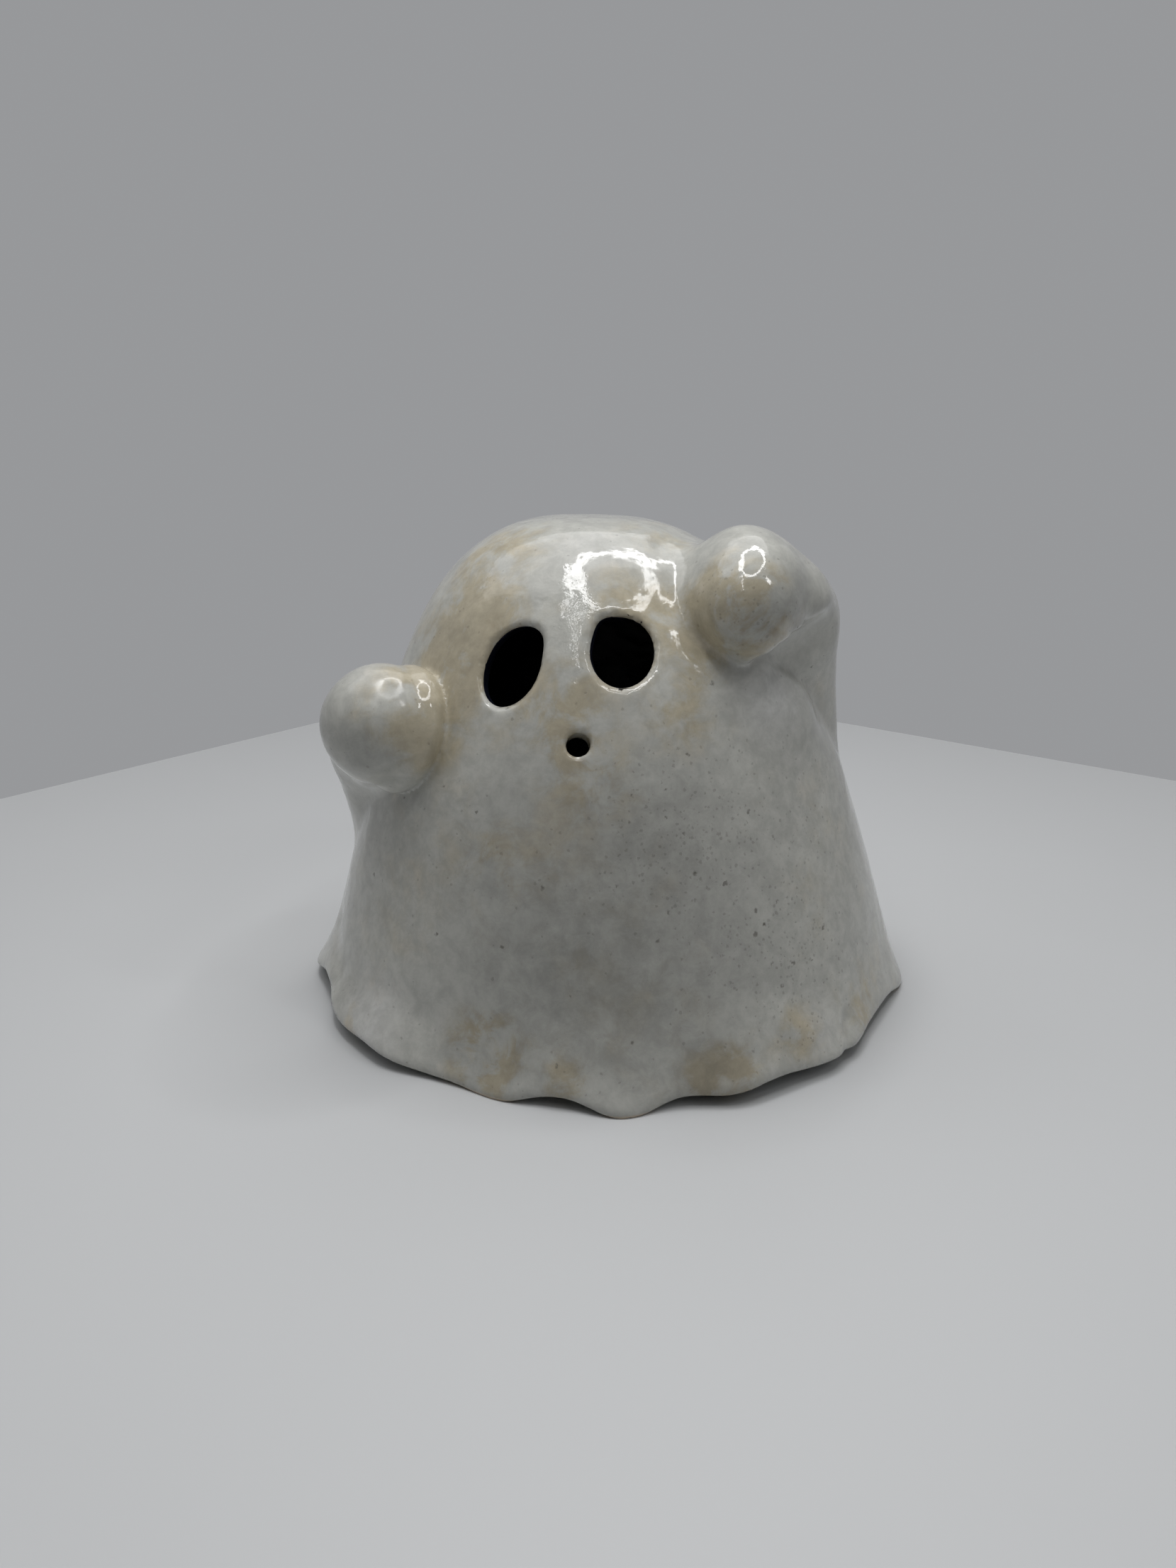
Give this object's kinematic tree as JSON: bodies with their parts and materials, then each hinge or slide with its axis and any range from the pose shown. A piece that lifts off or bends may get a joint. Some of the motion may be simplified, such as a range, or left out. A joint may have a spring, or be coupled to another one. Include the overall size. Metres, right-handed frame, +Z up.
{
  "type": "ceramic ghost figure",
  "caption": "Hand-built glazed ceramic ghost: a hollow domed sheet with a wavy hem, raised ball hands, and eye and mouth holes; stands open-bottomed as an ornament.",
  "frame": {"origin": "on the table under the middle of the hem: the centre of the body's box in X and Y, at the height of the foot", "axes": "+Z up, -Y the way the face looks, +X towards the viewer's right of the face"},
  "size_m": [0.1169, 0.1157, 0.0898],
  "materials": {
    "white_glaze": "glossy off-white glaze with warm mottling and fine dark specks",
    "dark_glaze": "glossy navy-black glaze"
  },
  "bodies": {
    "root": {"body_shell": "white_glaze", "inner_glaze": "dark_glaze", "left_hand": "white_glaze", "right_hand": "white_glaze", "left_sleeve": "white_glaze", "right_sleeve": "white_glaze", "left_wrist_coil": "white_glaze", "right_wrist_coil": "white_glaze"}
  },
  "joints": []
}
